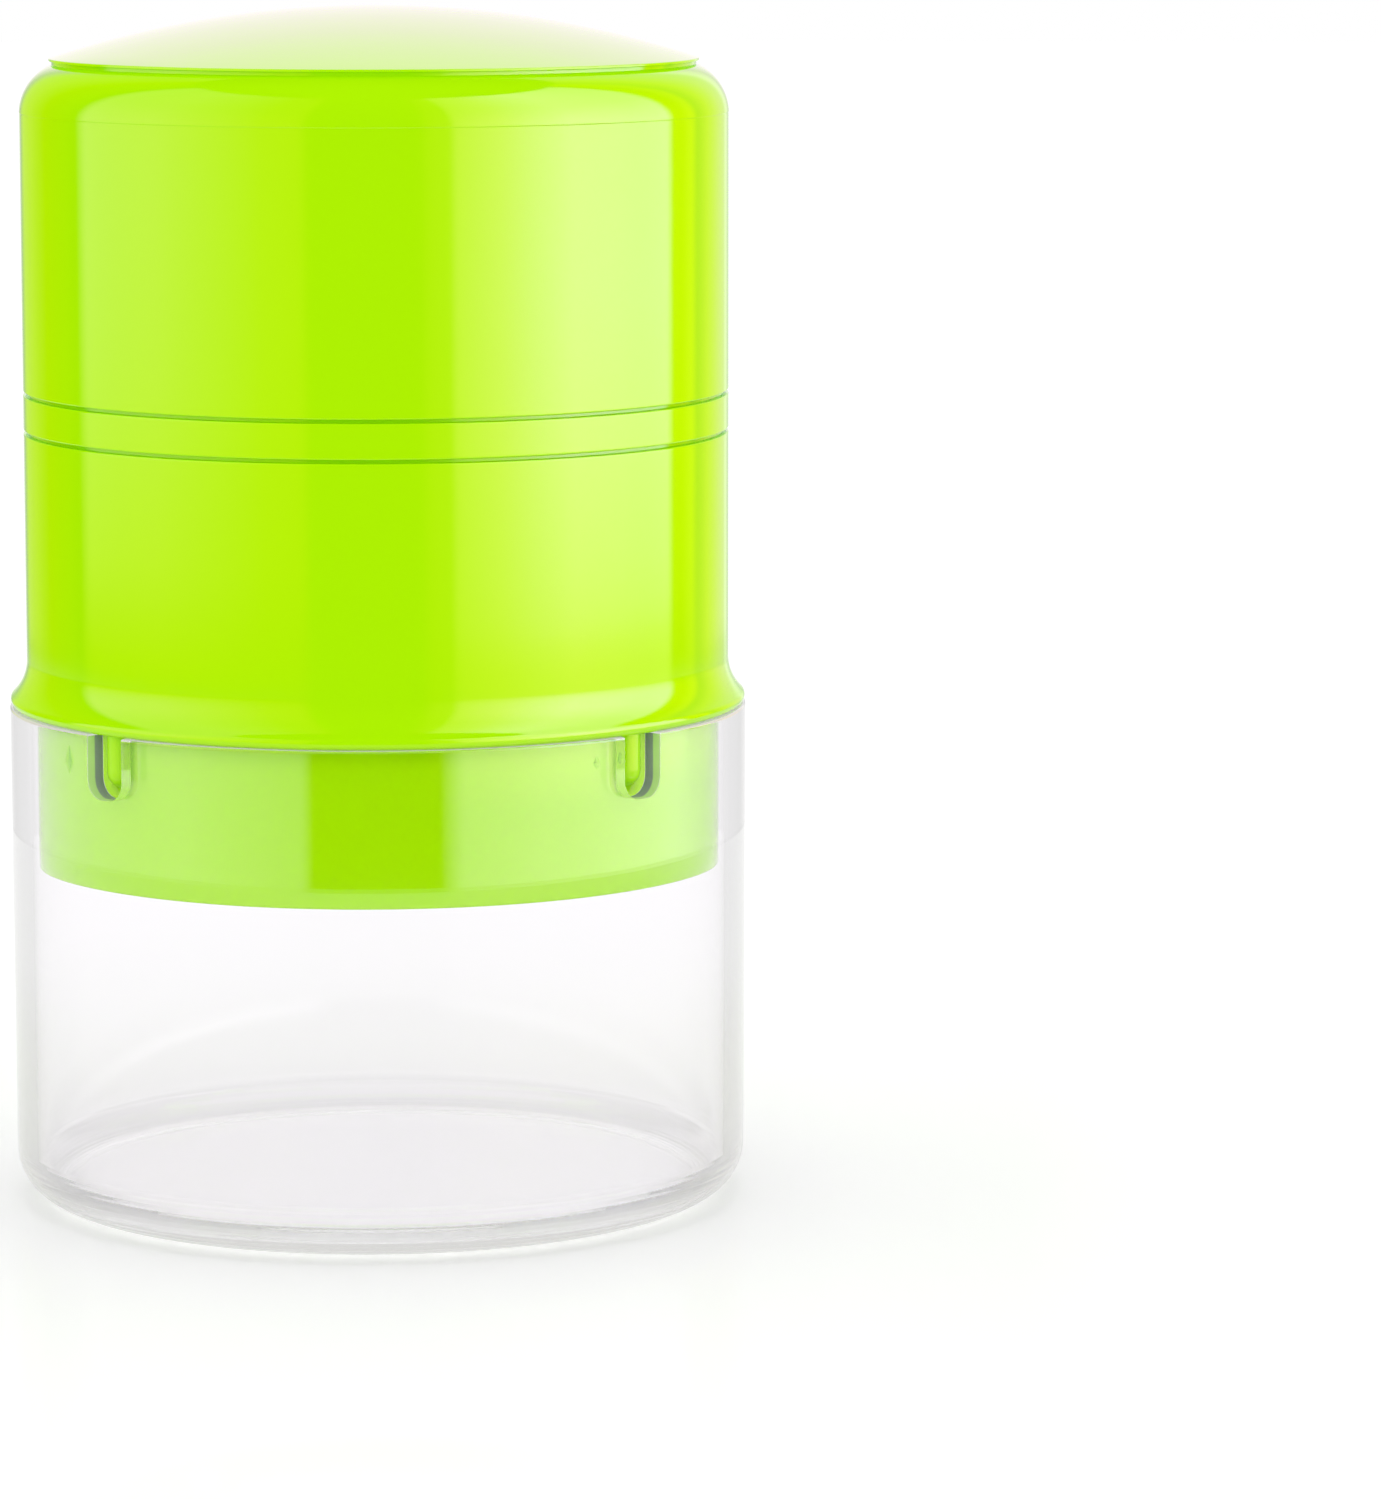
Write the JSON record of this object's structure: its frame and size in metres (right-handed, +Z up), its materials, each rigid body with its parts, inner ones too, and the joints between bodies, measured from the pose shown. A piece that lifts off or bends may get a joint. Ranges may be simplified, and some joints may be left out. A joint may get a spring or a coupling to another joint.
{
  "type": "plunger food chopper",
  "caption": "Hand food chopper with a clear cup, a green blade housing and a domed twist-and-press cap that feeds food onto slicing blades.",
  "frame": {"origin": "centre of the cup's base, on the surface it stands on", "axes": "+Z up along the axis of the cup, drum and cap; -Y is the front"},
  "size_m": [0.09, 0.09, 0.1457],
  "materials": {
    "clear_plastic": "clear, polished",
    "green_plastic": "glossy lime green",
    "white_plastic": "satin white",
    "blade_steel": "ground steel",
    "plated_steel": "bright plated",
    "spring_steel": "drawn wire",
    "bush_brass": "turned"
  },
  "bodies": {
    "cup": {"clear_cup": "clear_plastic"},
    "housing": {"blade_housing": "green_plastic", "blade_plate": "white_plastic", "slicing_blade_right": "blade_steel", "slicing_blade_left": "blade_steel", "blade_screws": "plated_steel", "plate_screws": "plated_steel", "centre_bolt": "plated_steel", "hub_washer": "plated_steel", "hub_nut": "plated_steel"},
    "drum": {"hopper_drum": "green_plastic", "food_divider": "white_plastic", "drum_bush": "bush_brass"},
    "cap": {"cap_shell": "green_plastic", "dome_cover": "green_plastic", "spring_guide": "white_plastic", "guide_screws": "plated_steel", "pusher_spring": "spring_steel"},
    "pusher": {"pusher_plate": "white_plastic", "pusher_stem": "white_plastic", "stem_clip": "spring_steel", "stem_screw": "plated_steel"}
  },
  "joints": [
    {"name": "housing_lift", "type": "slide", "parent": "cup", "child": "housing", "axis": [0, 0, 1], "range_m": [0, 0.026]},
    {"name": "drum_turn", "type": "hinge", "parent": "housing", "child": "drum", "pos_m": [0, 0, 0.0945], "axis": [0, 0, 1], "continuous": true},
    {"name": "cap_lift", "type": "slide", "parent": "drum", "child": "cap", "axis": [0, 0, 1], "range_m": [0, 0.07]},
    {"name": "pusher_press", "type": "slide", "parent": "cap", "child": "pusher", "axis": [0, 0, 1], "range_m": [0, 0.026], "stiffness_N_per_m": 430, "springref_m": -0.018, "deforming": ["pusher_spring"]}
  ]
}
